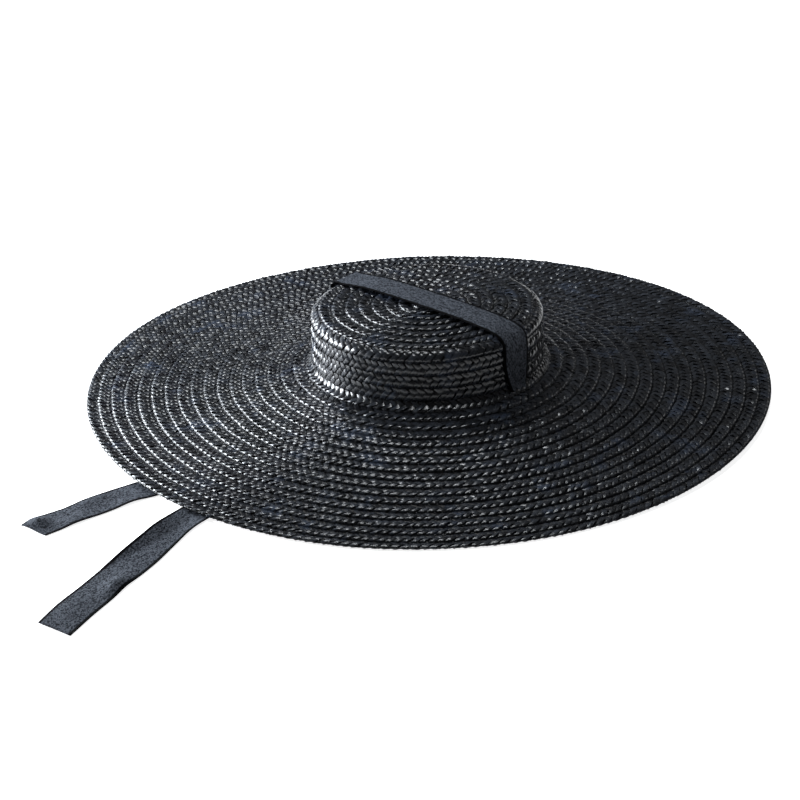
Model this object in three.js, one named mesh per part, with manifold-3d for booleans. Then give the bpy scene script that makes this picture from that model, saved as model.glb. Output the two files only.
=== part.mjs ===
// Boater: a black straw hat with a flat tip, a very wide brim and one ribbon to tie under the chin.
// Millimetres, +Z up. The hat stands on its brim's edge at z = 0 with its middle on the Z axis.
// The wearer looks along -Y, and the ribbon crosses the tip along X, from ear to ear.

import * as THREE from 'three';
import * as BufferGeometryUtils from 'three/addons/utils/BufferGeometryUtils.js';
import Module from 'manifold-3d';

// The hat's own line from the tip's middle to the brim's edge, through the middle of the straw.
const TIP_HEIGHT = 68.9;
const TIP_CORNER_RADIUS = 7;
const CROWN_RADIUS_TOP = 89.5;
const CROWN_RADIUS_FOOT = 90.5;
const FOOT_BEND = 6.5;
const BRIM_RADIUS = 271;
const BRIM_EDGE_HEIGHT = 1;
const BRIM_RISE = 21.6;
const BRIM_CURVE = 2.38;

// The brim's edge lies flat toward two sides and lifts off the surface between them.
const EDGE_LIFT = 5.5;
const EDGE_LIFT_DEG = 47;
const EDGE_FLAT_HALF_DEG = 15;

// Straw braid, sewn in rows that each lie over the inner edge of the next row out.
const ROW_COUNT = 30;
const CROWN_ROWS = 12;
const STRAW_THICKNESS = 1.8;
const ROW_STEP = 1.2;
const ROW_OVERLAP = 3;

// Ribbon, and the two slits at the crown's foot that it goes through.
const RIBBON_WIDTH = 28;
const RIBBON_THICKNESS = 1;
const SLIT_RADIUS = 95;
const SLIT_LENGTH = 18;
const SLIT_WIDTH = 5;

const PIECE_GAP = 0.3;
const SIDES = 40;
const LINE_STEPS = 120;
const ON_AXIS = 1e-6;

const STRAW_BLACK = { color: 0x14161a, roughness: 0.42, metalness: 0 };
const RIBBON_SLATE = { color: 0x2a2e34, roughness: 0.85, metalness: 0 };

// The ribbon's tails from the slit outward: where the middle of the ribbon lies, half its width, the
// direction of its width in plan, and how far the cut end slants. Gathered in the slit, each drops to the
// surface and lies flat. They cross under the brim, the left one on top, and come out at its front.
const LEFT_TAIL = [
  { x: -95, y: 0, z: 21, half: 7.5, widthDeg: 90, slant: 0 },
  { x: -94, y: -2, z: 15, half: 7.5, widthDeg: 83, slant: 0 },
  { x: -90.5, y: -8.5, z: 8.5, half: 9, widthDeg: 65, slant: 0 },
  { x: -83.5, y: -21, z: 3.2, half: 12, widthDeg: 42, slant: 0 },
  { x: -72.5, y: -40, z: 0.9, half: 14, widthDeg: 32, slant: 0 },
  { x: -54, y: -71, z: 0.6, half: 14, widthDeg: 30, slant: 0 },
  { x: -35, y: -104, z: 0.9, half: 14, widthDeg: 29, slant: 0 },
  { x: -17, y: -137, z: 2.1, half: 14, widthDeg: 26, slant: 0 },
  { x: -2.5, y: -170, z: 2.3, half: 14, widthDeg: 20, slant: 0 },
  { x: 7, y: -203, z: 2, half: 14, widthDeg: 13, slant: 0 },
  { x: 13.5, y: -237, z: 0.8, half: 14, widthDeg: 10, slant: 0 },
  { x: 18.5, y: -268, z: 0.6, half: 14, widthDeg: 10, slant: 0 },
  { x: 22.5, y: -290, z: 0.9, half: 14, widthDeg: 12, slant: 0 },
  { x: 28, y: -313, z: 1.6, half: 14, widthDeg: 14, slant: 0 },
  { x: 34.5, y: -338, z: 2.1, half: 14, widthDeg: 16, slant: 0 },
  { x: 41.5, y: -362, z: 1.3, half: 14, widthDeg: 16, slant: 0 },
  { x: 48.5, y: -386, z: 0.9, half: 14, widthDeg: 16, slant: 0 },
  { x: 55, y: -408, z: 1.4, half: 14, widthDeg: 16, slant: 0 },
  { x: 62, y: -431, z: 1, half: 14, widthDeg: 16, slant: -4 },
];
const RIGHT_TAIL = [
  { x: 95, y: 0, z: 21, half: 7.5, widthDeg: 90, slant: 0 },
  { x: 94, y: -2, z: 15, half: 7.5, widthDeg: 97, slant: 0 },
  { x: 90.5, y: -8.5, z: 8.5, half: 9, widthDeg: 115, slant: 0 },
  { x: 83.5, y: -21, z: 3.2, half: 12, widthDeg: 138, slant: 0 },
  { x: 72, y: -40, z: 0.9, half: 14, widthDeg: 148, slant: 0 },
  { x: 53, y: -71, z: 0.6, half: 14, widthDeg: 149, slant: 0 },
  { x: 33, y: -104, z: 0.6, half: 14, widthDeg: 149, slant: 0 },
  { x: 13, y: -137, z: 0.6, half: 14, widthDeg: 151, slant: 0 },
  { x: -6, y: -171, z: 0.6, half: 14, widthDeg: 154, slant: 0 },
  { x: -20, y: -204, z: 0.6, half: 14, widthDeg: 159, slant: 0 },
  { x: -31, y: -238, z: 0.6, half: 14, widthDeg: 163, slant: 0 },
  { x: -39.5, y: -268, z: 0.6, half: 14, widthDeg: 165, slant: 0 },
  { x: -43.5, y: -285, z: 0.9, half: 14, widthDeg: 167, slant: 0 },
  { x: -48, y: -306, z: 1.6, half: 14, widthDeg: 169, slant: 0 },
  { x: -51.5, y: -325, z: 1.3, half: 14, widthDeg: 171, slant: 0 },
  { x: -53.5, y: -342, z: 0.9, half: 14, widthDeg: 175, slant: 0 },
  { x: -54.2, y: -357, z: 0.8, half: 13.5, widthDeg: 178, slant: 1 },
];

// Straw and ribbon heights over the middle of the straw: a row starts low and ends high over the next.
const ROW_TOP_HIGH = (STRAW_THICKNESS + ROW_STEP) / 2;
const ROW_TOP_LOW = ROW_TOP_HIGH - ROW_STEP;
const RIBBON_OFF_STRAW = ROW_TOP_HIGH + PIECE_GAP + RIBBON_THICKNESS / 2;

// Height of the brim's line at a radius: steepest at the crown, level at the edge.
function brimHeight(radius) {
  const share = (BRIM_RADIUS - radius) / (BRIM_RADIUS - CROWN_RADIUS_FOOT);
  return BRIM_EDGE_HEIGHT + BRIM_RISE * share ** BRIM_CURVE;
}

// Points of the hat's line as (radius, height), from the tip's middle out: tip, corner, wall, foot, brim.
function hatLinePoints() {
  const points = [new THREE.Vector2(0, TIP_HEIGHT)];
  const cornerRadius = CROWN_RADIUS_TOP - TIP_CORNER_RADIUS;
  const corner = new THREE.EllipseCurve(cornerRadius, TIP_HEIGHT - TIP_CORNER_RADIUS,
    TIP_CORNER_RADIUS, TIP_CORNER_RADIUS, Math.PI / 2, 0, true);
  points.push(...corner.getPoints(LINE_STEPS));
  const brimStart = CROWN_RADIUS_FOOT + FOOT_BEND;
  const slope = brimHeight(brimStart) - brimHeight(brimStart + 1);
  const bendHeight = brimHeight(brimStart) + slope * FOOT_BEND;
  const foot = new THREE.QuadraticBezierCurve(
    new THREE.Vector2(CROWN_RADIUS_FOOT, bendHeight + FOOT_BEND),
    new THREE.Vector2(CROWN_RADIUS_FOOT, bendHeight),
    new THREE.Vector2(brimStart, brimHeight(brimStart)));
  points.push(...foot.getPoints(LINE_STEPS));
  for (let step = 1; step <= LINE_STEPS; step += 1) {
    const radius = brimStart + (BRIM_RADIUS - brimStart) * step / LINE_STEPS;
    points.push(new THREE.Vector2(radius, brimHeight(radius)));
  }
  return points;
}

const linePoints = hatLinePoints();
const lineLengths = [0];
for (let i = 1; i < linePoints.length; i += 1) {
  lineLengths.push(lineLengths[i - 1] + linePoints[i].distanceTo(linePoints[i - 1]));
}
const lineLength = lineLengths.at(-1);
const rowPitch = lineLength / ROW_COUNT;

// The point a given way along the hat's line, moved off it by an offset toward the outside.
function offLine(along, offset) {
  const found = lineLengths.findIndex((length) => length >= along);
  const end = found < 0 ? linePoints.length - 1 : Math.max(1, found);
  const direction = linePoints[end].clone().sub(linePoints[end - 1]).normalize();
  const point = linePoints[end - 1].clone().addScaledVector(direction, along - lineLengths[end - 1]);
  return point.add(new THREE.Vector2(-direction.y, direction.x).multiplyScalar(offset));
}

// Where row number k starts on top of the straw and underneath it: the rows overlap by ROW_OVERLAP.
const rowTopStart = (row) => (row === 0 ? 0 : row * rowPitch + ROW_OVERLAP / 2);
const rowUnderStart = (row) => (row === 0 ? 0 : row * rowPitch - ROW_OVERLAP / 2);

// The crown's section, out along the top and back along the inside, with a thinned lap at its foot.
function crownSection() {
  const top = [];
  const inside = [];
  for (let row = 0; row < CROWN_ROWS; row += 1) {
    top.push(offLine(rowTopStart(row), ROW_TOP_LOW), offLine(rowTopStart(row + 1), ROW_TOP_HIGH));
    const insideEnd = rowUnderStart(row + 1) - (row === CROWN_ROWS - 1 ? PIECE_GAP : 0);
    inside.push(offLine(rowUnderStart(row), -ROW_TOP_HIGH), offLine(insideEnd, -ROW_TOP_LOW));
  }
  const lap = [
    offLine(rowTopStart(CROWN_ROWS), PIECE_GAP / 2),
    offLine(rowUnderStart(CROWN_ROWS) - PIECE_GAP, PIECE_GAP / 2),
  ];
  return [...top, ...lap, ...inside.reverse()];
}

// The brim's section, from the lip inside the crown's foot out along the top and back underneath. The
// last row's underside is level, and no row reaches below it.
function brimSection() {
  const top = [
    offLine(rowUnderStart(CROWN_ROWS), -PIECE_GAP / 2),
    offLine(rowTopStart(CROWN_ROWS) + PIECE_GAP, -PIECE_GAP / 2),
  ];
  const under = [];
  const lastRow = ROW_COUNT - 1;
  for (let row = CROWN_ROWS; row <= lastRow; row += 1) {
    const topStart = rowTopStart(row) + (row === CROWN_ROWS ? PIECE_GAP : 0);
    const topEnd = row === lastRow ? lineLength : rowTopStart(row + 1);
    top.push(offLine(topStart, ROW_TOP_LOW), offLine(topEnd, ROW_TOP_HIGH));
    const underStart = offLine(rowUnderStart(row), -ROW_TOP_HIGH);
    const underEnd = offLine(row === lastRow ? lineLength : rowUnderStart(row + 1), -ROW_TOP_LOW);
    underStart.y = Math.max(underStart.y, 0);
    underEnd.y = row === lastRow ? 0 : underEnd.y;
    under.push(underStart, underEnd);
  }
  return [...top, ...under.reverse()];
}

// How far the brim is lifted at a radius and an angle: nothing at the crown or over the two flat arcs.
function edgeLift(radius, angle) {
  const flat = Math.cos(THREE.MathUtils.degToRad(2 * EDGE_FLAT_HALF_DEG));
  const wave = Math.cos(2 * (angle - THREE.MathUtils.degToRad(EDGE_LIFT_DEG)));
  const share = Math.max(0, radius - CROWN_RADIUS_FOOT) / (BRIM_RADIUS - CROWN_RADIUS_FOOT);
  return EDGE_LIFT * Math.max(0, wave + flat) / (1 + flat) * share;
}

function indexedGeometry(positions, index) {
  const geometry = new THREE.BufferGeometry();
  geometry.setAttribute('position', new THREE.Float32BufferAttribute(positions, 3));
  geometry.setIndex(index);
  return geometry;
}

// A section turned round the Z axis. A point on the axis becomes one pole, and a section with no pole
// closes on itself.
function turned(section) {
  const positions = [];
  const rings = section.map((point) => {
    const pole = point.x < ON_AXIS;
    const ring = [];
    for (let side = 0; side < SIDES; side += 1) {
      if (pole && side > 0) {
        ring.push(ring[0]);
        continue;
      }
      const angle = 2 * Math.PI * side / SIDES;
      ring.push(positions.length / 3);
      positions.push(point.x * Math.cos(angle), point.x * Math.sin(angle),
        point.y + edgeLift(point.x, angle));
    }
    return { pole, ring };
  });
  const index = [];
  rings.forEach((inner, i) => {
    const outer = rings[(i + 1) % rings.length];
    if (inner.pole && outer.pole) {
      return;
    }
    for (let side = 0; side < SIDES; side += 1) {
      const next = (side + 1) % SIDES;
      if (!outer.pole) {
        index.push(inner.ring[side], outer.ring[side], outer.ring[next]);
      }
      if (!inner.pole) {
        index.push(inner.ring[side], outer.ring[next], inner.ring[next]);
      }
    }
  });
  return indexedGeometry(positions, index);
}

// The ribbon's stations over the crown, on the left side for side = -1 and on the right for side = 1,
// from the tip outward and down to where the ribbon is gathered above the slit.
function crownStations(side) {
  const tip = CROWN_RADIUS_TOP - TIP_CORNER_RADIUS;
  const corner = TIP_CORNER_RADIUS * Math.PI / 2;
  const wallFoot = rowTopStart(CROWN_ROWS);
  const setBack = (RIBBON_WIDTH / 2) ** 2 / (2 * CROWN_RADIUS_TOP);
  const table = [
    { along: tip / 3, gather: 1, bow: 0 },
    { along: tip * 2 / 3, gather: 1, bow: 0 },
    { along: tip, gather: 1, bow: 0 },
    { along: tip + corner / 3, gather: 1, bow: setBack / 3 },
    { along: tip + corner * 2 / 3, gather: 1, bow: setBack * 2 / 3 },
    { along: tip + corner, gather: 1, bow: setBack },
    { along: tip + corner + (wallFoot - tip - corner) / 3, gather: 1, bow: setBack },
    { along: tip + corner + (wallFoot - tip - corner) * 2 / 3, gather: 0.92, bow: setBack },
    { along: wallFoot, gather: 0.68, bow: 0 },
  ];
  return table.map(({ along, gather, bow }) => {
    const place = offLine(along, RIBBON_OFF_STRAW);
    const half = gather * RIBBON_WIDTH / 2;
    return { x: side * place.x, y: 0, z: place.y, half, widthDeg: 90, slant: 0, bow };
  });
}

// A flat strip through the stations: at each one a thin section whose width lies across the route.
function strip(stations) {
  const across = [-1, -0.5, 0, 0.5, 1];
  const positions = [];
  stations.forEach((station, i) => {
    const before = stations[Math.max(0, i - 1)];
    const after = stations[Math.min(stations.length - 1, i + 1)];
    const tangent = new THREE.Vector3(after.x - before.x, after.y - before.y, after.z - before.z).normalize();
    const turn = THREE.MathUtils.degToRad(station.widthDeg);
    const width = new THREE.Vector3(Math.cos(turn), Math.sin(turn), 0);
    width.addScaledVector(tangent, -width.dot(tangent)).normalize();
    const normal = new THREE.Vector3().crossVectors(tangent, width);
    const corner = (share, lift) => new THREE.Vector3(station.x, station.y, station.z)
      .addScaledVector(width, station.half * share)
      .addScaledVector(tangent, station.slant * share)
      .addScaledVector(normal, lift - (station.bow ?? 0) * share * share);
    const face = across.map((share) => corner(share, RIBBON_THICKNESS / 2));
    const back = across.map((share) => corner(share, -RIBBON_THICKNESS / 2)).reverse();
    [...face, ...back].forEach((point) => positions.push(...point.toArray()));
  });
  const index = [];
  const quad = (a, b, c, d) => index.push(a, b, c, a, c, d);
  const loop = 2 * across.length;
  for (let i = 0; i + 1 < stations.length; i += 1) {
    for (let k = 0; k < loop; k += 1) {
      const next = (k + 1) % loop;
      quad(i * loop + k, (i + 1) * loop + k, (i + 1) * loop + next, i * loop + next);
    }
  }
  const last = (stations.length - 1) * loop;
  for (let k = 0; k + 1 < across.length; k += 1) {
    const under = loop - 1 - k;
    quad(k, k + 1, under - 1, under);
    quad(last + k, last + under, last + under - 1, last + k + 1);
  }
  return indexedGeometry(positions, index);
}

const wasm = await Module();
wasm.setup();

function solid(geometry) {
  return new wasm.Manifold(new wasm.Mesh({
    numProp: 3,
    vertProperties: new Float32Array(geometry.attributes.position.array),
    triVerts: new Uint32Array(geometry.index.array),
  }));
}

// The brim with a slit through its first row on the left and on the right.
function slittedBrim() {
  let brim = solid(turned(brimSection()));
  for (const side of [-1, 1]) {
    const slit = new THREE.BoxGeometry(SLIT_WIDTH, SLIT_LENGTH, TIP_HEIGHT);
    slit.deleteAttribute('normal');
    slit.deleteAttribute('uv');
    slit.translate(side * SLIT_RADIUS, 0, 0);
    brim = brim.subtract(solid(BufferGeometryUtils.mergeVertices(slit)));
  }
  const cut = brim.getMesh();
  return indexedGeometry(Array.from(cut.vertProperties), Array.from(cut.triVerts));
}

function piece(name, geometry, finish) {
  geometry.computeVertexNormals();
  const mesh = new THREE.Mesh(geometry, new THREE.MeshStandardMaterial(finish));
  mesh.name = name;
  return mesh;
}

const tipMiddle = {
  x: 0, y: 0, z: TIP_HEIGHT + RIBBON_OFF_STRAW, half: RIBBON_WIDTH / 2, widthDeg: 90, slant: 0,
};
const ribbonStations = [
  ...[...LEFT_TAIL].reverse(),
  ...crownStations(-1).reverse(),
  tipMiddle,
  ...crownStations(1),
  ...RIGHT_TAIL,
];

const boater = new THREE.Group();
boater.name = 'boater';
boater.add(
  piece('crown', turned(crownSection()), STRAW_BLACK),
  piece('brim', slittedBrim(), STRAW_BLACK),
  piece('ribbon', strip(ribbonStations), RIBBON_SLATE),
);

export default boater;
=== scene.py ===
import math

import bpy
import numpy as np
from mathutils import Matrix, Vector


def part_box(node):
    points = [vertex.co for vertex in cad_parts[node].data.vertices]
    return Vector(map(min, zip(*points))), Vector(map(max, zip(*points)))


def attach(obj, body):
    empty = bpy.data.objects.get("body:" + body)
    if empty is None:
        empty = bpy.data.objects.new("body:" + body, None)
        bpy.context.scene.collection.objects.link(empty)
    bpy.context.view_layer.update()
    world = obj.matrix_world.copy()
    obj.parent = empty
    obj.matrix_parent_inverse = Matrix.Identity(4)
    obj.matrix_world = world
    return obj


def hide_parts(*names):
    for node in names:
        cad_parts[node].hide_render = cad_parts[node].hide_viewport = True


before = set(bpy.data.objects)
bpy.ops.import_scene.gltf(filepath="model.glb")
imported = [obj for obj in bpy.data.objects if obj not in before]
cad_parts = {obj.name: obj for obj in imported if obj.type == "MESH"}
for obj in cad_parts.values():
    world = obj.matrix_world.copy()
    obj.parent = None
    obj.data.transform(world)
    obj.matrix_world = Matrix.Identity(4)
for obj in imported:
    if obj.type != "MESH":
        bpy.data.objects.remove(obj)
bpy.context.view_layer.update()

# The view: a long lens at the front right, a little above the brim. Its axis meets the surface under the
# middle of the hat, and the lens is shifted so that the ribbon's tails stay in the picture.
MM = 0.001
VIEW_TURN = math.radians(42.71)
VIEW_RISE = math.radians(25.07)
VIEW_ROLL = math.radians(-1.55)
VIEW_DISTANCE = 1722.9 * MM
FOCAL_PIXELS = 2151.2
PICTURE_PIXELS = 800
AXIS_PIXEL_X = 428.7
AXIS_PIXEL_Y = 384.3
SENSOR_WIDTH_MM = 36.0
FURTHEST_SEEN = 20

scene = bpy.context.scene
toward_camera = Vector((math.sin(VIEW_TURN) * math.cos(VIEW_RISE),
                        -math.cos(VIEW_TURN) * math.cos(VIEW_RISE), math.sin(VIEW_RISE)))
level_right = Vector((math.cos(VIEW_TURN), math.sin(VIEW_TURN), 0))
level_up = toward_camera.cross(level_right)
picture_right = math.cos(VIEW_ROLL) * level_right + math.sin(VIEW_ROLL) * level_up
picture_up = math.cos(VIEW_ROLL) * level_up - math.sin(VIEW_ROLL) * level_right
camera_data = bpy.data.cameras.new("view")
camera_data.sensor_width = SENSOR_WIDTH_MM
camera_data.lens = FOCAL_PIXELS * SENSOR_WIDTH_MM / PICTURE_PIXELS
camera_data.shift_x = 0.5 - AXIS_PIXEL_X / PICTURE_PIXELS
camera_data.shift_y = AXIS_PIXEL_Y / PICTURE_PIXELS - 0.5
camera_data.clip_end = FURTHEST_SEEN
camera = bpy.data.objects.new("view", camera_data)
scene.collection.objects.link(camera)
turn_matrix = Matrix((picture_right, picture_up, toward_camera)).transposed()
camera.matrix_world = Matrix.Translation(toward_camera * VIEW_DISTANCE) @ turn_matrix.to_4x4()
scene.camera = camera

# The plait: glossy black straws braided in a herringbone, each one slanting from the braid's middle over its
# edge and back underneath. The braid is sewn round and round from the tip's middle to the brim's edge, each
# row lying over the next one out.
TIP_HEIGHT = 68.9 * MM
TIP_CORNER = 7 * MM
TIP_DOME = 0.5 * MM
TIP_SAG = 1.2 * MM
CROWN_RADIUS_TOP = 89.5 * MM
CROWN_RADIUS_FOOT = 90.5 * MM
FOOT_BEND = 6.5 * MM
BRIM_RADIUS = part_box("brim")[1].x
BRIM_EDGE_HEIGHT = 1 * MM
BRIM_RISE = 21.6 * MM
BRIM_CURVE = 2.38
EDGE_LIFT = 5.5 * MM
EDGE_LIFT_TURN = math.radians(47)
EDGE_FLAT_HALF = math.radians(15)
LOWEST_STRAW = 0.05 * MM
TIP_SAMPLES = 20
BEND_SAMPLES = 40
BRIM_SAMPLES = 200
LINE_SAMPLES = 1500

# Rows of braid, counted from the tip's middle. The wander's waves are given by how many go round a row and
# by their share of it, and the first few rows wander less.
ROW_COUNT = 30
CROWN_ROWS = 12
ROW_OVERLAP = 3 * MM
ROW_TILT = 1.9 * MM
ROW_WANDER = 0.28 * MM
WANDER_WAVES = ((4, 1), (11, 0.7), (29, 0.5))
STEADY_ROWS = 4
PLAIT_SEED = 7
PLAIT_PITCH = 6.4 * MM
PITCH_SPREAD = 0.09
PITCH_LIMIT = 1.4
ROW_SEEN_MIDDLE = 0.6
FEWEST_STRAWS = 6

HALF_STRAW = 0.4 * MM
STRAW_HALF_WIDTH = 1.9 * MM
STRAW_REACH = 4.2 * MM
STRAW_CAMBER = 0.16 * MM
STRAW_LIE = math.radians(45)
COLUMN_STAGGER = 0.5
# A straw's way over the braid: the place from the braid's middle (-1) to its edge (1), and the height in mm.
STRAW_WAY = ((-1.2, -0.7), (-1, 0.3), (-0.8, 1.1), (-0.55, 1.5), (-0.2, 1.5), (0.2, 1.2), (0.65, 0.7),
             (1.05, 0.25), (1.4, 0.15))
STRAW_WIDTHS = (-1, -0.5, 0, 0.5, 1)
UNDER_WAY = ((-1.1, -0.2), (-0.6, 0.5), (0.6, 0.5), (1.2, 0.2))
UNDER_WIDTHS = (-1, 0, 1)
# Columns of straws: how far their middle is in from the edge (minus: underneath), whether their way runs out
# or in over the braid, their lean, and the share of the full height that they reach.
TOP_COLUMNS = ((3.3 * MM, 1, -1, 1.05), (9.9 * MM, -1, 1, 0.75))
UNDER_COLUMNS = ((-3.3 * MM, -1, -1, 1), (-9.9 * MM, 1, 1, 1))
# How unlike each other the straws are: usual differences in width and height as shares, in lie, in place
# across, in place along as a share of the pitch, in roll and in lift, and the longest shift of the fibres.
WIDTH_SPREAD = 0.05
HEIGHT_SPREAD = 0.1
LIE_SPREAD = math.radians(3)
ACROSS_SPREAD = 0.12 * MM
ALONG_SPREAD = 0.05
ROLL_SPREAD = 0.06
LIFT_SPREAD = 0.05 * MM
FIBRE_SHIFT = 9

CORE_HALF = 0.22 * MM
CORE_STEP = 8 * MM
CORE_SHARES = (0, 0.25, 0.45, 0.5, 0.55, 0.75, 1)
FEWEST_CORE_STEPS = 24

STRAW_DARKEST = (0.004, 0.0043, 0.0055, 1)
STRAW_LIGHTEST = (0.02, 0.0225, 0.028, 1)
STRAW_PALER = (0.026, 0.034, 0.052, 1)
PALER_PATCHES_PER_METRE = 45
PALER_FROM = 0.58
PALER_FULL = 0.75
FIBRES_PER_METRE = (120, 3500, 1)
GLOSS_SMOOTHEST = 0.13
GLOSS_ROUGHEST = 0.37
FIBRE_BUMP = 0.12
FIBRE_DEPTH = 0.1 * MM


def brim_height(radius):
    """Height of the brim's line: the edge's height plus a rise that grows as a power of the way inward."""
    share = (BRIM_RADIUS - radius) / (BRIM_RADIUS - CROWN_RADIUS_FOOT)
    return BRIM_EDGE_HEIGHT + BRIM_RISE * share ** BRIM_CURVE


def hat_line():
    """Length, radius and height along the middle of the straw, from the tip's middle to the brim's edge: a
    tip that falls with the cube of the way out, a quarter circle, a straight wall, a parabola at the foot and
    the brim's power curve."""
    quarter = np.linspace(math.pi / 2, 0, BEND_SAMPLES)
    tip_share = np.linspace(0, 1, TIP_SAMPLES)[:-1]
    brim_start = CROWN_RADIUS_FOOT + FOOT_BEND
    slope = (brim_height(brim_start) - brim_height(brim_start + MM)) / MM
    bend_height = brim_height(brim_start) + slope * FOOT_BEND
    way = np.linspace(0, 1, BEND_SAMPLES)
    brim_radii = np.linspace(brim_start, BRIM_RADIUS, BRIM_SAMPLES)[1:]
    radius = np.concatenate([
        tip_share * (CROWN_RADIUS_TOP - TIP_CORNER),
        CROWN_RADIUS_TOP - TIP_CORNER + TIP_CORNER * np.cos(quarter),
        CROWN_RADIUS_FOOT + FOOT_BEND * way ** 2,
        brim_radii])
    height = np.concatenate([
        TIP_HEIGHT + TIP_DOME - (TIP_DOME + TIP_SAG) * tip_share ** 3,
        TIP_HEIGHT - TIP_SAG - TIP_CORNER + TIP_CORNER * np.sin(quarter),
        (1 - way) ** 2 * (bend_height + FOOT_BEND) + 2 * way * (1 - way) * bend_height
        + way ** 2 * brim_height(brim_start),
        brim_height(brim_radii)])
    length = np.concatenate([[0], np.cumsum(np.hypot(np.diff(radius), np.diff(height)))])
    even = np.linspace(0, length[-1], LINE_SAMPLES)
    return even, np.interp(even, length, radius), np.interp(even, length, height)


line_length, line_radius, line_height = hat_line()
line_out = -np.gradient(line_height, line_length)
line_up = np.gradient(line_radius, line_length)
row_pitch = line_length[-1] / ROW_COUNT


def on_hat(along, off, turn):
    """Points at a length along the hat's line, moved off it by its outer normal and turned round the middle.
    The brim's edge lifts with the cosine of twice the turn, more the further out, and is cut level at 0."""
    radius = np.interp(along, line_length, line_radius) + off * np.interp(along, line_length, line_out)
    height = np.interp(along, line_length, line_height) + off * np.interp(along, line_length, line_up)
    flat = math.cos(2 * EDGE_FLAT_HALF)
    wave = np.maximum(0, np.cos(2 * (turn - EDGE_LIFT_TURN)) + flat) / (1 + flat)
    share = np.maximum(0, radius - CROWN_RADIUS_FOOT) / (BRIM_RADIUS - CROWN_RADIUS_FOOT)
    height = np.maximum(height, LOWEST_STRAW) + EDGE_LIFT * wave * share
    return np.stack([radius * np.cos(turn), radius * np.sin(turn), height], axis=-1)


def row_ends(row):
    """Where a row's braid starts under the row inside it and where it ends over the row outside it."""
    start = max(0, row * row_pitch - ROW_OVERLAP / 2)
    end = min(line_length[-1], (row + 1) * row_pitch + ROW_OVERLAP / 2)
    return start, end


chance = np.random.default_rng(PLAIT_SEED)
row_waves = chance.uniform(0, 2 * math.pi, (ROW_COUNT, len(WANDER_WAVES)))
row_spread = np.clip(chance.normal(0, 1, ROW_COUNT), -PITCH_LIMIT, PITCH_LIMIT)
row_repeat = PLAIT_PITCH * (1 + PITCH_SPREAD * row_spread)


def on_braid(row, across, rise, turn, half=HALF_STRAW):
    """Points on a row's braid: across runs from its inner edge over the top, round a half circle at the outer
    edge and back underneath, on a band that tilts up outward, and rise stands off that surface. Each row
    wanders a little in and out in a sum of sine waves as it goes round, as hand sewing does."""
    start, end = row_ends(row)
    wander = sum(share * np.sin(count * turn + first_turn)
                 for (count, share), first_turn in zip(WANDER_WAVES, row_waves[row]))
    top = end - start - half
    bend = np.clip((across - top) / half, 0, math.pi)
    back = np.maximum(0, across - top - math.pi * half)
    along = start + np.minimum(across, top) - back + (half + rise) * np.sin(bend)
    middle = ROW_TILT * ((along - start) / (end - start) - 0.5)
    along = along + ROW_WANDER * wander * min(1, row / STEADY_ROWS) * (row < ROW_COUNT - 1)
    return on_hat(np.clip(along, 0, line_length[-1]), middle + (half + rise) * np.cos(bend), turn)


def row_turn_count(row):
    """Straws in each column of a row: the length round the middle of its seen part, over their repeat."""
    middle = np.interp((row + ROW_SEEN_MIDDLE) * row_pitch, line_length, line_radius)
    return max(FEWEST_STRAWS, round(2 * math.pi * middle / row_repeat[row]))


def straw_patches(row, column, way, widths):
    """Points, map and tone of one column of straws. Each straw is a grid of its length by its width, turned
    to its lie on the braid: the height follows its way along and falls with the square of the width across.
    A way that runs out starts at the braid's middle and goes over its edge, and one that runs in is
    reversed."""
    inset, out, lean, fullness = column
    start, end = row_ends(row)
    count = row_turn_count(row)
    edge = end - start + (math.pi / 2 - 1) * HALF_STRAW

    def varied(spread):
        return chance.normal(0, spread, (count, 1, 1))

    place, height = np.array(way)[::out].T
    length = (out * place * STRAW_REACH * math.sqrt(2)).reshape(1, -1, 1)
    width = (np.array(widths) * STRAW_HALF_WIDTH).reshape(1, 1, -1) * (1 + varied(WIDTH_SPREAD))
    angle = STRAW_LIE + varied(LIE_SPREAD)
    across = edge - inset + np.sin(angle) * length - lean * np.cos(angle) * width + varied(ACROSS_SPREAD)
    along = lean * np.cos(angle) * length + np.sin(angle) * width
    stagger = COLUMN_STAGGER * (out < 0)
    shift = np.arange(count).reshape(-1, 1, 1) + stagger + along / PLAIT_PITCH + varied(ALONG_SPREAD)
    turn = row_waves[row, 0] + 2 * math.pi * shift / count
    rise = fullness * height.reshape(1, -1, 1) * MM * (1 + varied(HEIGHT_SPREAD))
    rise = rise - STRAW_CAMBER * (width / STRAW_HALF_WIDTH) ** 2
    rise = rise + varied(ROLL_SPREAD) * width + varied(LIFT_SPREAD)
    across, rise, turn = np.broadcast_arrays(across, rise, turn)
    points = on_braid(row, across, rise, turn)
    fibre_place = length + chance.uniform(0, FIBRE_SHIFT, (count, 1, 1))
    straw_map = np.stack(np.broadcast_arrays(fibre_place, width), axis=-1)
    tone = np.broadcast_to(chance.uniform(0, 1, (count, 1, 1)), across.shape)
    return points, straw_map, tone


def grid_faces(rows, columns, patches=1, closed=False, tube=False):
    """Quads of patches of points in rows and columns. A closed patch joins its last row to its first, and a
    tube joins its last column to its first."""
    number = np.arange(rows * columns).reshape(rows, columns)
    if closed:
        number = np.concatenate([number, number[:1]], axis=0)
    if tube:
        number = np.concatenate([number, number[:, :1]], axis=1)
    one = np.stack([number[:-1, :-1], number[1:, :-1], number[1:, 1:], number[:-1, 1:]], axis=-1)
    one = one.reshape(-1, 4)
    return (one[None] + (np.arange(patches) * rows * columns)[:, None, None]).reshape(-1, 4)


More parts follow.
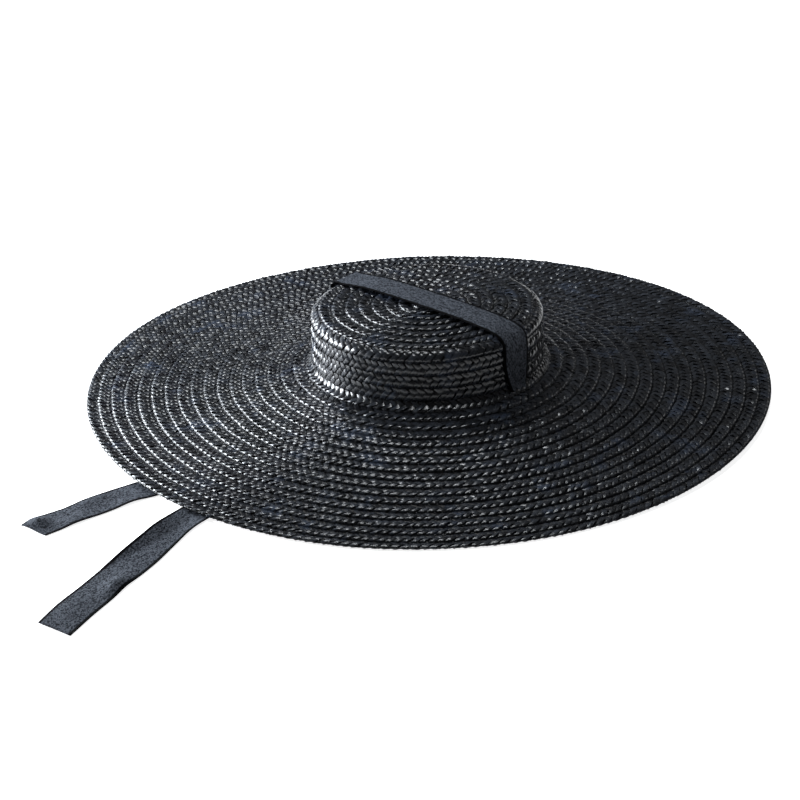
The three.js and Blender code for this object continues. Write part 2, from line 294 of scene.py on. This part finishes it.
def mesh_piece(name, points, faces, material, uv, tone=None):
    """A smooth mesh object at the origin from arrays of points and quads, with its own map and tone."""
    mesh = bpy.data.meshes.new(name)
    mesh.vertices.add(len(points))
    mesh.vertices.foreach_set("co", points.astype(np.float32).ravel())
    mesh.loops.add(faces.size)
    mesh.loops.foreach_set("vertex_index", faces.astype(np.int32).ravel())
    mesh.polygons.add(len(faces))
    mesh.polygons.foreach_set("loop_start", np.arange(0, faces.size, 4, dtype=np.int32))
    layer = mesh.uv_layers.new(name="lie")
    layer.data.foreach_set("uv", uv[faces.ravel()].astype(np.float32).ravel())
    if tone is not None:
        shade = mesh.attributes.new("tone", "FLOAT", "POINT")
        shade.data.foreach_set("value", tone.astype(np.float32))
    mesh.update()
    mesh.validate()
    mesh.shade_smooth()
    mesh.materials.append(material)
    piece = bpy.data.objects.new(name, mesh)
    scene.collection.objects.link(piece)
    return piece


def core_band(row):
    """The inside of a row's braid: a closed thin band that stops light between the straws."""
    start, end = row_ends(row)
    round_it = 2 * (end - start - CORE_HALF) + math.pi * CORE_HALF
    across = np.array(CORE_SHARES) * round_it
    end_length = 2 * math.pi * np.interp(end, line_length, line_radius)
    count = max(FEWEST_CORE_STEPS, round(end_length / CORE_STEP))
    turn = np.linspace(0, 2 * math.pi, count, endpoint=False)
    turn, across = np.meshgrid(turn, across, indexing="ij")
    points = on_braid(row, across, 0, turn, half=CORE_HALF)
    faces = grid_faces(count, points.shape[1], closed=True, tube=True)[:, ::-1]
    return points.reshape(-1, 3), faces


def braid_arrays(rows):
    """Points, quads, map and tone of several rows of braid: straws above, straws below and the core, whose
    darkest tone is painted shade.
    """
    points, faces, maps, tones = [], [], [], []
    point_count = 0
    columns = [(column, STRAW_WAY, STRAW_WIDTHS) for column in TOP_COLUMNS]
    columns += [(column, UNDER_WAY, UNDER_WIDTHS) for column in UNDER_COLUMNS]
    for row in rows:
        for column, way, widths in columns:
            patch, straw_map, tone = straw_patches(row, column, way, widths)
            quads = grid_faces(len(way), len(widths), len(patch))
            points.append(patch.reshape(-1, 3))
            faces.append(quads + point_count)
            maps.append(straw_map.reshape(-1, 2))
            tones.append(tone.ravel())
            point_count += tone.size
        core, quads = core_band(row)
        points.append(core)
        faces.append(quads + point_count)
        maps.append(np.zeros((len(core), 2)))
        # The core is the braid's inside, but it takes the darkest straw tone all round: painted shade in the
        # gaps between the straws.
        tones.append(np.zeros(len(core)))
        point_count += len(core)
    return [np.concatenate(part) for part in (points, faces, maps, tones)]


def straw_material():
    """Glossy black straw: a blue-black that varies from straw to straw, with paler patches where the noise is
    high and fine fibres along each straw that change its gloss and height."""
    material = bpy.data.materials.new("straw_black")
    material.use_nodes = True
    nodes, links = material.node_tree.nodes, material.node_tree.links
    shader = nodes["Principled BSDF"]
    tone = nodes.new("ShaderNodeAttribute")
    tone.attribute_name = "tone"
    dye = nodes.new("ShaderNodeValToRGB")
    dye.color_ramp.elements[0].color = STRAW_DARKEST
    dye.color_ramp.elements[1].color = STRAW_LIGHTEST
    links.new(tone.outputs["Fac"], dye.inputs["Fac"])
    place = nodes.new("ShaderNodeTexCoord")
    patch = nodes.new("ShaderNodeTexNoise")
    patch.inputs["Scale"].default_value = PALER_PATCHES_PER_METRE
    patch.inputs["Detail"].default_value = 2
    links.new(place.outputs["Object"], patch.inputs["Vector"])
    paler = nodes.new("ShaderNodeMapRange")
    paler.inputs["From Min"].default_value = PALER_FROM
    paler.inputs["From Max"].default_value = PALER_FULL
    links.new(patch.outputs["Fac"], paler.inputs["Value"])
    patchy = nodes.new("ShaderNodeMix")
    patchy.data_type = "RGBA"
    links.new(paler.outputs["Result"], patchy.inputs["Factor"])
    links.new(dye.outputs["Color"], patchy.inputs["A"])
    patchy.inputs["B"].default_value = STRAW_PALER
    links.new(patchy.outputs["Result"], shader.inputs["Base Color"])
    straw = nodes.new("ShaderNodeUVMap")
    straw.uv_map = "lie"
    stretch = nodes.new("ShaderNodeMapping")
    stretch.inputs["Scale"].default_value = FIBRES_PER_METRE
    links.new(straw.outputs["UV"], stretch.inputs["Vector"])
    fibre = nodes.new("ShaderNodeTexNoise")
    fibre.inputs["Scale"].default_value = 1
    fibre.inputs["Detail"].default_value = 3
    links.new(stretch.outputs["Vector"], fibre.inputs["Vector"])
    gloss = nodes.new("ShaderNodeMapRange")
    gloss.inputs["To Min"].default_value = GLOSS_SMOOTHEST
    gloss.inputs["To Max"].default_value = GLOSS_ROUGHEST
    links.new(fibre.outputs["Fac"], gloss.inputs["Value"])
    links.new(gloss.outputs["Result"], shader.inputs["Roughness"])
    bump = nodes.new("ShaderNodeBump")
    bump.inputs["Strength"].default_value = FIBRE_BUMP
    bump.inputs["Distance"].default_value = FIBRE_DEPTH
    links.new(fibre.outputs["Fac"], bump.inputs["Height"])
    links.new(bump.outputs["Normal"], shader.inputs["Normal"])
    return material


straw_black = straw_material()
# Pieces of braid: the first row, the row after the last one, and the solid that the piece stands for.
BRAID_PIECES = {
    "crown_braid": (0, CROWN_ROWS, "crown"),
    "brim_braid_inner": (CROWN_ROWS, 18, "brim"),
    "brim_braid_middle": (18, 22, "brim"),
    "brim_braid_outer": (22, 26, "brim"),
    "brim_braid_edge": (26, ROW_COUNT, "brim"),
}
for braid_name, (first_row, row_after, braid_node) in BRAID_PIECES.items():
    braid_points, braid_faces, braid_map, braid_tone = braid_arrays(range(first_row, row_after))
    braid = mesh_piece(braid_name, braid_points, braid_faces, straw_black, braid_map, braid_tone)
    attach(braid, "root")
    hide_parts(braid_node)

# The ribbon: one length of matte woven ribbon. It is stretched over the tip from ear to ear, gathered through
# a slit at each side of the crown's foot, and its two loose tails cross under the brim and lie in front.
RIBBON_WIDTH = 28 * MM
RIBBON_HALF_THICK = 0.3 * MM
RIBBON_OFF_STRAW = 2.9 * MM
RIBBON_COLUMNS = 25
RIBBON_STEP = 2 * MM
# The edges thin by this share, as a high power of the way out from the ribbon's middle.
EDGE_THINNING = 0.6
EDGE_POWER = 12
# Over the tip the ribbon arches a little, and at the left it stands off the tip's corner in a small bulge.
RIBBON_ARCH = 2.2 * MM
ARCH_POWER = 4
RIBBON_BULGE = 1.2 * MM
# Where the ribbon is narrower than this share of its width, it folds into gathers.
GATHER_BELOW = 0.9
GATHER_DEPTH = 2.6 * MM
GATHER_HALF_WAVES = 2.5
# The tails start at the slit's height. On the right wall the ribbon bows round the crown: not at all up to
# one height, and fully from a second one up.
SLIT_HEIGHT = 15 * MM
BOW_NONE_HEIGHT = 30 * MM
BOW_FULL_HEIGHT = 45 * MM
# Each row, in mm and degrees: the middle of the ribbon (x, y, z), half its width, the direction of its width
# and the end's slant.
LEFT_TAIL = (
    (-95, 0, 21, 7.5, 90, 0), (-94, -2, 15, 7.5, 83, 0), (-90.5, -8.5, 8.5, 9, 65, 0),
    (-83.5, -21, 3.2, 12, 42, 0), (-72.5, -40, 0.9, 14, 32, 0), (-54, -71, 0.6, 14, 30, 0),
    (-35, -104, 0.9, 14, 29, 0), (-17, -137, 2.1, 14, 26, 0), (-2.5, -170, 2.3, 14, 20, 0),
    (7, -203, 2, 14, 13, 0), (12.5, -237, 0.8, 14, 10, 0), (17.4, -268, 0.6, 13.6, 10, 0),
    (22.4, -290, 0.9, 12.8, 12, 0), (29.2, -314, 1.2, 13.6, 14, 0), (36, -338, 1.2, 14.8, 15, 0),
    (42.3, -362, 1.1, 14.8, 15, 0), (49, -386, 0.9, 14.8, 15, 0), (55.2, -408, 1, 14.8, 14, 0),
    (63.3, -433, 0.9, 14.4, 14, -3))
RIGHT_TAIL = (
    (95, 0, 21, 7.5, 90, 0), (94, -2, 15, 7.5, 97, 0), (90.5, -8.5, 8.5, 9, 115, 0),
    (83.5, -21, 3.2, 12, 138, 0), (72, -40, 0.9, 14, 148, 0), (53, -71, 0.6, 14, 149, 0),
    (33, -104, 0.6, 14, 149, 0), (13, -137, 0.6, 14, 151, 0), (-6, -171, 0.6, 14, 154, 0),
    (-20, -204, 0.6, 14, 159, 0), (-31, -238, 0.6, 14, 163, 0), (-39.5, -268, 0.6, 14, 165, 0),
    (-43, -285, 0.9, 14, 167, 0), (-46.2, -306, 1, 13.6, 169, 0), (-48.5, -325, 1, 13.2, 171, 0),
    (-51.5, -342, 0.9, 13.8, 174, 0), (-52.6, -358, 0.8, 12.6, 178, 2))
# Soft rises of the loose tails: middle and reach along y in mm, middle and reach across as shares of half the
# width, and height in mm.
LEFT_RISES = ((-372, 11, 0.5, 0.45, 4), (-408, 20, -0.2, 0.9, 1.2), (-285, 25, 1.1, 0.5, 1.6))
RIGHT_RISES = ((-350, 7, 0.4, 0.6, 4.4), (-328, 12, -0.6, 0.7, 1.4), (-306, 14, 0.6, 0.5, 1.5),
               (-283, 12, -0.9, 0.6, 1.5))
# The longer tail's crease: the places along y where its line leaves the ribbon's edge and where it reaches
# the middle, the length over which the turned-up edge then comes down, all in mm, and the edge's slope.
LEFT_CREASE = (-364, -300, 45, 0.32)
# Over the crown: the way along the hat's line in tip, corner and wall lengths, and how far it is gathered.
OVER_CROWN = (
    (1 / 3, 0, 0, 1), (2 / 3, 0, 0, 1), (1, 0, 0, 1), (1, 1 / 3, 0, 1), (1, 2 / 3, 0, 1), (1, 1, 0, 1),
    (1, 1, 1 / 3, 1), (1, 1, 2 / 3, 0.92), (1, 1, 1, 0.68))
RIBBON_DARKEST = (0.002, 0.0025, 0.004, 1)
RIBBON_LIGHTEST = (0.09, 0.099, 0.118, 1)
# Painted shade near black along both edges of the ribbon, for the shadow at its edges: it starts this far in
# from the edge and is full this far in.
RIBBON_EDGE_SHADE = (0.001, 0.001, 0.0015, 1)
RIBBON_EDGE_SHADE_FROM = 2.6 * MM
RIBBON_EDGE_SHADE_FULL = 1.8 * MM
GRAIN_PER_METRE = (900, 1350, 1)
RIBBON_ROUGHNESS = 0.85
RIBBON_SHINE = 0.04


def crown_stations(side):
    """Ribbon stations from the tip out and down one side, each off the straw by the ribbon's own distance.
    The arch falls as a power of the way out over the tip, and the bulge is half a sine wave round the
    corner."""
    tip = CROWN_RADIUS_TOP - TIP_CORNER
    corner = TIP_CORNER * math.pi / 2
    wall = CROWN_ROWS * row_pitch + ROW_OVERLAP / 2 - tip - corner
    stations = []
    for tip_share, corner_share, wall_share, gather in OVER_CROWN:
        along = tip_share * tip + corner_share * corner + wall_share * wall
        bulge = RIBBON_BULGE * math.sin(math.pi * corner_share) if side < 0 else 0
        arch = RIBBON_ARCH * (1 - tip_share ** ARCH_POWER)
        place = on_hat(along, RIBBON_OFF_STRAW + bulge + arch, 0.0) / MM
        stations.append((side * place[0], 0, place[2], gather * RIBBON_WIDTH / 2 / MM, 90, 0))
    return stations


def smooth_stations(stations):
    """Stations in metres and degrees, resampled evenly along a smooth curve through them, each value by a
    cubic between neighbours whose slopes are the mean of the steps on both sides."""
    table = np.array(stations, float)
    table[:, :4] *= MM
    table[:, 5] *= MM
    knots = np.concatenate([[0], np.cumsum(np.linalg.norm(np.diff(table[:, :3], axis=0), axis=1))])
    slopes = np.gradient(table, knots, axis=0)
    at = np.linspace(0, knots[-1], round(knots[-1] / RIBBON_STEP) + 1)
    left = np.clip(np.searchsorted(knots, at, side="right") - 1, 0, len(knots) - 2)
    span = (knots[left + 1] - knots[left])[:, None]
    way = (at - knots[left])[:, None] / span
    return ((1 + 2 * way) * (1 - way) ** 2 * table[left] + way * (1 - way) ** 2 * span * slopes[left]
            + way ** 2 * (3 - 2 * way) * table[left + 1]
            - way ** 2 * (1 - way) * span * slopes[left + 1])


def ribbon_axes(rows):
    """Directions along, across and off the ribbon at each station: the route's tangent, the given direction
    of its width made square to that, and their cross product."""
    tangent = np.gradient(rows[:, :3], axis=0)
    tangent /= np.linalg.norm(tangent, axis=1, keepdims=True)
    angle = np.radians(rows[:, 4])
    width = np.stack([np.cos(angle), np.sin(angle), np.zeros_like(angle)], axis=1)
    width -= tangent * (width * tangent).sum(axis=1, keepdims=True)
    width /= np.linalg.norm(width, axis=1, keepdims=True)
    return tangent, width, np.cross(tangent, width)


def ribbon_lift(rows, share, up, bow, rises, crease):
    """How far the ribbon stands off its route at each station and share of its half width: cosine gathers
    where it is narrow, less the bow by the square of the share, plus a smooth bell for each of rises, plus
    the edge that crease turns up in proportion to its distance from a slanting line."""
    place, half = rows[:, 1:2] / MM, rows[:, 3:4]
    gather = np.maximum(0, GATHER_BELOW - half / (RIBBON_WIDTH / 2))
    fold = GATHER_DEPTH * gather * np.cos(GATHER_HALF_WAVES * math.pi * share)[None, :]
    lift = fold - bow[:, None] * share[None, :] ** 2
    for along_middle, along_reach, share_middle, share_reach, height in rises:
        along_part = ((place - along_middle) / along_reach) ** 2
        across_part = ((share[None, :] - share_middle) / share_reach) ** 2
        lift = lift + up * height * MM * np.exp(-along_part - across_part)
    if crease:
        crease_start, crease_stop, crease_fade, crease_slope = crease
        line = (place - crease_start) / (crease_stop - crease_start) - 1
        fade = np.clip(1 - (place - crease_stop) / crease_fade, 0, 1)
        turned = np.maximum(0, np.minimum(line, 0) - share[None, :]) * half
        lift = lift + up * crease_slope * turned * fade ** 2 * (3 - 2 * fade)
    return lift


def ribbon_arrays(rows, bow, rises, crease):
    """Points, quads and map of a closed thin strip: at each station a section with thin edges lies across the
    route, its points closer together toward the edges as the sine of an even angle, and it stands off the
    route by the ribbon's lift. Both ends are capped."""
    middle, half, slant = rows[:, :3], rows[:, 3:4], rows[:, 5:6]
    tangent, width, normal = ribbon_axes(rows)
    share = np.sin(np.linspace(-math.pi / 2, math.pi / 2, RIBBON_COLUMNS))
    lift = ribbon_lift(rows, share, np.sign(normal[:, 2:]), bow, rises, crease)
    thick = RIBBON_HALF_THICK * (1 - EDGE_THINNING * np.abs(share) ** EDGE_POWER)
    across = (half * share)[:, :, None] * width[:, None, :]
    slanted = (slant * share)[:, :, None] * tangent[:, None, :]
    layers = []
    for side in (1, -1):
        off = (lift + side * thick)[:, :, None] * normal[:, None, :]
        layers.append(middle[:, None, :] + (across + slanted) + off)
    loop = np.concatenate([layers[0], layers[1][:, ::-1]], axis=1)
    count, columns = loop.shape[:2]
    faces = grid_faces(count, columns, tube=True)
    length = np.concatenate([[0], np.cumsum(np.linalg.norm(np.diff(middle, axis=0), axis=1))])
    flat_across = np.concatenate([share, share[::-1]]) * RIBBON_WIDTH / 2
    uv = np.stack(np.meshgrid(length, flat_across, indexing="ij"), axis=-1)
    first = np.arange(RIBBON_COLUMNS - 1)
    last = 2 * RIBBON_COLUMNS - 1 - first
    cap = np.stack([first, first + 1, last - 1, last], axis=1)
    end = cap[:, ::-1] + (count - 1) * columns
    return loop.reshape(-1, 3), np.concatenate([faces, cap, end]), uv.reshape(-1, 2)


def ribbon_material():
    """Matte slate ribbon: a crepe grain of fine light and dark specks, and painted shade along both edges for
    the edge shadow.
    """
    material = bpy.data.materials.new("ribbon_slate")
    material.use_nodes = True
    nodes, links = material.node_tree.nodes, material.node_tree.links
    shader = nodes["Principled BSDF"]
    shader.inputs["Roughness"].default_value = RIBBON_ROUGHNESS
    shader.inputs["Specular IOR Level"].default_value = RIBBON_SHINE
    weave_map = nodes.new("ShaderNodeUVMap")
    weave_map.uv_map = "lie"
    stretch = nodes.new("ShaderNodeMapping")
    stretch.inputs["Scale"].default_value = GRAIN_PER_METRE
    links.new(weave_map.outputs["UV"], stretch.inputs["Vector"])
    crossing = nodes.new("ShaderNodeVectorMath")
    crossing.operation = "FLOOR"
    links.new(stretch.outputs["Vector"], crossing.inputs[0])
    grain = nodes.new("ShaderNodeTexWhiteNoise")
    links.new(crossing.outputs["Vector"], grain.inputs["Vector"])
    colour = nodes.new("ShaderNodeValToRGB")
    colour.color_ramp.elements[0].color = RIBBON_DARKEST
    colour.color_ramp.elements[1].color = RIBBON_LIGHTEST
    links.new(grain.outputs["Value"], colour.inputs["Fac"])
    parts = nodes.new("ShaderNodeSeparateXYZ")
    links.new(weave_map.outputs["UV"], parts.inputs["Vector"])
    off_middle = nodes.new("ShaderNodeMath")
    off_middle.operation = "ABSOLUTE"
    links.new(parts.outputs["Y"], off_middle.inputs[0])
    # Painted shade: the colour goes near black towards both edges, for the shadow along the ribbon's edges.
    edge_shade = nodes.new("ShaderNodeMapRange")
    edge_shade.inputs["From Min"].default_value = RIBBON_WIDTH / 2 - RIBBON_EDGE_SHADE_FROM
    edge_shade.inputs["From Max"].default_value = RIBBON_WIDTH / 2 - RIBBON_EDGE_SHADE_FULL
    links.new(off_middle.outputs["Value"], edge_shade.inputs["Value"])
    edge_shaded = nodes.new("ShaderNodeMix")
    edge_shaded.data_type = "RGBA"
    links.new(edge_shade.outputs["Result"], edge_shaded.inputs["Factor"])
    links.new(colour.outputs["Color"], edge_shaded.inputs["A"])
    edge_shaded.inputs["B"].default_value = RIBBON_EDGE_SHADE
    links.new(edge_shaded.outputs["Result"], shader.inputs["Base Color"])
    return material


ribbon_slate = ribbon_material()
tip_height = TIP_HEIGHT + TIP_DOME + RIBBON_OFF_STRAW + RIBBON_ARCH
tip_middle = (0, 0, tip_height / MM, RIBBON_WIDTH / 2 / MM, 90, 0)
ribbon_route = smooth_stations([*LEFT_TAIL[::-1], *crown_stations(-1)[::-1], tip_middle, *crown_stations(1),
                                *RIGHT_TAIL])
route_x, route_height = ribbon_route[:, 0], ribbon_route[:, 2]
under_brim = route_height < SLIT_HEIGHT
left_count = int(np.argmin(under_brim))
right_start = len(ribbon_route) - int(np.argmin(under_brim[::-1]))
bow_share = np.clip((np.abs(route_x) - CROWN_RADIUS_TOP + TIP_CORNER) / TIP_CORNER, 0, 1) * (route_x > 0)
bow_share *= np.clip((route_height - BOW_NONE_HEIGHT) / (BOW_FULL_HEIGHT - BOW_NONE_HEIGHT), 0, 1)
ribbon_bow = bow_share * (RIBBON_WIDTH / 2) ** 2 / (2 * CROWN_RADIUS_TOP)
RIBBON_PIECES = {
    "ribbon_left_tail": (slice(0, left_count + 1), LEFT_RISES, LEFT_CREASE),
    "ribbon_over_crown": (slice(left_count, right_start), (), None),
    "ribbon_right_tail": (slice(right_start - 1, len(ribbon_route)), RIGHT_RISES, None),
}
for ribbon_name, (stretch_of, ribbon_rises, ribbon_crease) in RIBBON_PIECES.items():
    ribbon_rows = ribbon_route[stretch_of]
    ribbon_points, ribbon_faces, ribbon_map = ribbon_arrays(ribbon_rows, ribbon_bow[stretch_of], ribbon_rises,
                                                            ribbon_crease)
    ribbon = mesh_piece(ribbon_name, ribbon_points, ribbon_faces, ribbon_slate, ribbon_map)
    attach(ribbon, "root")
    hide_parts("ribbon")

# The stage: a white floor that the hat stands on. A low window at the left with sky above it is the key, a
# high light behind the hat draws the straws' strokes, and overhead and far side lights fill in.
FLOOR_HALF = 4.0
FLOOR_WHITE = (0.9, 0.9, 0.9, 1)
FLOOR_ROUGHNESS = 0.9
FLOOR_GLOW = 0.85
STUDIO_GLOW = 0.06
WINDOW_WHITE = (0.9, 0.95, 1.0)
SKY_WHITE = (0.85, 0.93, 1.0)
COOL_WHITE = (0.93, 0.97, 1.0)
PLAIN_WHITE = (1, 1, 1)
floor_mesh = bpy.data.meshes.new("floor")
floor_mesh.from_pydata([(-FLOOR_HALF, -FLOOR_HALF, 0), (FLOOR_HALF, -FLOOR_HALF, 0),
                        (FLOOR_HALF, FLOOR_HALF, 0), (-FLOOR_HALF, FLOOR_HALF, 0)], [], [(0, 1, 2, 3)])
floor = bpy.data.objects.new("floor", floor_mesh)
scene.collection.objects.link(floor)
floor_paint = bpy.data.materials.new("floor_white")
floor_paint.use_nodes = True
floor_shader = floor_paint.node_tree.nodes["Principled BSDF"]
floor_shader.inputs["Base Color"].default_value = FLOOR_WHITE
floor_shader.inputs["Roughness"].default_value = FLOOR_ROUGHNESS
floor_shader.inputs["Emission Color"].default_value = (*PLAIN_WHITE, 1)
floor_shader.inputs["Emission Strength"].default_value = FLOOR_GLOW
floor_mesh.materials.append(floor_paint)


def soft_light(name, turn_deg, rise_deg, distance, size, power, colour):
    """A soft panel that faces the hat from a turn right of the camera's side and a rise above the floor."""
    data = bpy.data.lights.new(name, "AREA")
    data.shape = "RECTANGLE"
    data.size, data.size_y = size
    data.energy = power
    data.color = colour
    light = bpy.data.objects.new(name, data)
    turn = VIEW_TURN + math.radians(turn_deg)
    rise = math.radians(rise_deg)
    back = Vector((math.sin(turn) * math.cos(rise), -math.cos(turn) * math.cos(rise), math.sin(rise)))
    light.location = back * distance
    light.rotation_euler = back.to_track_quat("Z", "Y").to_euler()
    scene.collection.objects.link(light)


soft_light("window", turn_deg=-103, rise_deg=15, distance=0.95, size=(0.75, 0.3), power=28,
           colour=WINDOW_WHITE)
soft_light("sky", turn_deg=-122, rise_deg=30, distance=0.95, size=(0.75, 0.3), power=3,
           colour=SKY_WHITE)
soft_light("far_side", turn_deg=130, rise_deg=35, distance=1.3, size=(0.4, 0.4), power=0.7,
           colour=PLAIN_WHITE)
soft_light("high", turn_deg=-162, rise_deg=53, distance=1.3, size=(0.3, 0.3), power=5,
           colour=COOL_WHITE)
soft_light("overhead", turn_deg=0, rise_deg=90, distance=2.4, size=(0.6, 0.6), power=22,
           colour=COOL_WHITE)
world = bpy.data.worlds.new("studio")
world.use_nodes = True
world_glow = world.node_tree.nodes["Background"]
world_glow.inputs["Color"].default_value = (*PLAIN_WHITE, 1)
world_glow.inputs["Strength"].default_value = STUDIO_GLOW
scene.world = world
scene.view_settings.view_transform = "Standard"
